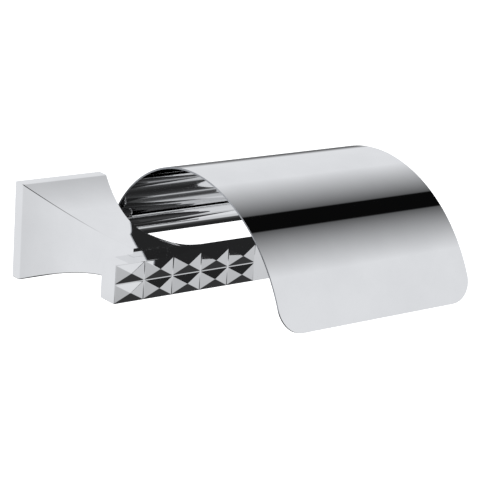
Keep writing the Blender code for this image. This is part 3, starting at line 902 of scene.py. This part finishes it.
def make_bracket():
    low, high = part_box("wall_bracket")
    bracket = box("bracket", low, high)
    bracket.data.materials.append(ZINC)
    helpers = []
    for side in (1, -1):
        outline = slot_outline(side * SLOT_HEIGHT)
        rings = [[(x, y, z) for x, z in outline] for y in (low.y - OVERRUN, OVERRUN)]
        helpers.append(loft(f"slot_{side}", rings))
    for helper in helpers:
        cut(bracket, "DIFFERENCE", helper)
    ease_edges(bracket, BRACKET_EDGE, BRACKET_EDGE_ANGLE)
    bake_shape(bracket, *helpers)
    bracket.data.shade_smooth()
    bracket.data.set_sharp_from_angle(angle=SMOOTH_ANGLE)
    even_normals(bracket)
    stand_for(bracket, "wall_bracket", FIXED)


# ---- studio ----
FLOOR_DROP = 0.10
FLOOR_LEVEL = CAD_BOX[0].z - FLOOR_DROP
FLOOR_REACH = 12
FLOOR_COLOUR = (0.93, 0.93, 0.93, 1)
FLOOR_GLOW = 0.75
BACKDROP_LIGHT = 1.0                                  # what the camera sees past the floor
STUDIO_TINT = (0.985, 1.0, 1.03, 1)
CEILING_SPAN = (math.radians(7), math.radians(42))    # leaning from straight up, it brightens over this span
CEILING_LIGHT = (0.1, 0.8)
STRIP_EDGE = (math.radians(6.5), math.radians(7.5))   # the soft edge of the dark strip overhead
STRIP_SHARE = 0.03
WALL_HEADING = math.radians(130)                      # the two soft walls face each other along this
WALL_DIM = 0.15
BACK_WALL = 0.82
BACK_WALL_SPAN = (0.2, 0.9)                           # cosines of the turn away from that heading
FRONT_WALL = 0.65
FRONT_WALL_SPAN = (-0.95, -0.65)
HORIZON = (-0.02, 0.1)                                # sines of the elevation, here and below
GROUND_EDGE = (-0.45, -0.32)
GROUND_SHARE = 0.14
LAMP_SIZE = 1.2
LAMP_POWER = 6
LAMP_PLACE = Vector((0.2, -0.5, 1.1))


def make_floor():
    """A wide pale floor well under the holder."""
    mesh = bmesh.new()
    bmesh.ops.create_grid(mesh, x_segments=1, y_segments=1, size=FLOOR_REACH)
    floor = add_piece("floor", mesh)
    floor.location.z = FLOOR_LEVEL
    material = bpy.data.materials.new("floor")
    _, shader = nodes_of(material)
    shader.inputs["Base Color"].default_value = FLOOR_COLOUR
    shader.inputs["Roughness"].default_value = 1
    shader.inputs["Specular IOR Level"].default_value = 0
    shader.inputs["Emission Color"].default_value = (1, 1, 1, 1)
    shader.inputs["Emission Strength"].default_value = FLOOR_GLOW
    floor.data.materials.append(material)
    floor.visible_glossy = False


def add_math(tree, operation, first, second=None):
    node = tree.nodes.new("ShaderNodeMath")
    node.operation = operation
    for socket, value in zip(node.inputs, (first, second)):
        if isinstance(value, (int, float)):
            socket.default_value = value
        elif value is not None:
            tree.links.new(value, socket)
    return node.outputs["Value"]


def add_blend(tree, part, first, second):
    node = tree.nodes.new("ShaderNodeMix")
    sockets = (node.inputs["Factor"], node.inputs["A"], node.inputs["B"])
    for socket, value in zip(sockets, (part, first, second)):
        if isinstance(value, float):
            socket.default_value = value
        else:
            tree.links.new(value, socket)
    return node.outputs["Result"]


def make_studio():
    """A plain soft studio: a pale ceiling with one dark strip, two soft walls of light, and dark ground."""
    world = bpy.data.worlds.new("studio")
    bpy.context.scene.world = world
    world.use_nodes = True
    tree = world.node_tree
    background = tree.nodes["Background"]
    background.inputs["Color"].default_value = STUDIO_TINT
    where = tree.nodes.new("ShaderNodeTexCoord")
    split = tree.nodes.new("ShaderNodeSeparateXYZ")
    tree.links.new(where.outputs["Generated"], split.inputs["Vector"])
    x, y, z = (split.outputs[axis] for axis in "XYZ")

    lean = add_math(tree, "ABSOLUTE", add_math(tree, "ARCTAN2", y, z))
    glow = ramp(tree, lean, *CEILING_LIGHT, CEILING_SPAN)
    ceiling = add_math(tree, "MULTIPLY", glow, ramp(tree, lean, STRIP_SHARE, 1, STRIP_EDGE))

    across = add_math(tree, "MULTIPLY", x, math.cos(WALL_HEADING))
    facing = add_math(tree, "ADD", across, add_math(tree, "MULTIPLY", y, math.sin(WALL_HEADING)))
    behind = ramp(tree, facing, WALL_DIM, BACK_WALL, BACK_WALL_SPAN)
    ahead = ramp(tree, facing, FRONT_WALL, WALL_DIM, FRONT_WALL_SPAN)
    walls = add_math(tree, "MAXIMUM", behind, ahead)
    ground = add_math(tree, "MULTIPLY", walls, ramp(tree, z, GROUND_SHARE, 1, GROUND_EDGE))

    light = add_blend(tree, ramp(tree, z, 0, 1, HORIZON), ground, ceiling)
    seen = tree.nodes.new("ShaderNodeLightPath").outputs["Is Camera Ray"]
    tree.links.new(add_blend(tree, seen, light, BACKDROP_LIGHT), background.inputs["Strength"])


def make_light():
    """A large soft light overhead that mirrors don't show."""
    data = bpy.data.lights.new("softbox", "AREA")
    data.shape = "SQUARE"
    data.size = LAMP_SIZE
    data.energy = LAMP_POWER
    light = bpy.data.objects.new("softbox", data)
    light.location = LAMP_PLACE
    light.rotation_euler = LAMP_PLACE.to_track_quat("Z", "Y").to_euler()
    light.visible_glossy = False
    bpy.context.scene.collection.objects.link(light)


def make_parts():
    make_post()
    make_bar()
    make_hood()
    make_bracket()
    make_rod()
    make_cap()
    make_stop_pin()
    make_washer("lock_washer", "rod_lock_washer", inner=0.0023, outer=0.0038)
    make_washer("end_washer_turned", "end_washer", inner=0.0023, outer=0.0036)
    make_washer("bolt_washer", "bar_bolt_washer", inner=0.0033, outer=0.006)
    make_sleeve()
    make_bush("bush_left", "hinge_bush_left", "+X")
    make_bush("bush_right", "hinge_bush_right", "-X")
    make_screw("bolt", "bar_bolt", bolt_profile, "-Y", socket_radius=0.0029, socket_depth=0.003)
    make_screw(
        "bracket_grub", "bracket_grub_screw", grub_profile, "+Z",
        socket_radius=0.001, socket_depth=0.0024,
    )
    make_screw(
        "cap_grub", "cap_grub_screw", cap_grub_profile, "+Z",
        socket_radius=0.0006, socket_depth=0.0008,
    )
    make_nut()
    make_dowel("left")
    make_dowel("right")


make_camera()
make_studio()
make_floor()
make_light()
make_parts()
bpy.context.scene.view_settings.view_transform = "Standard"
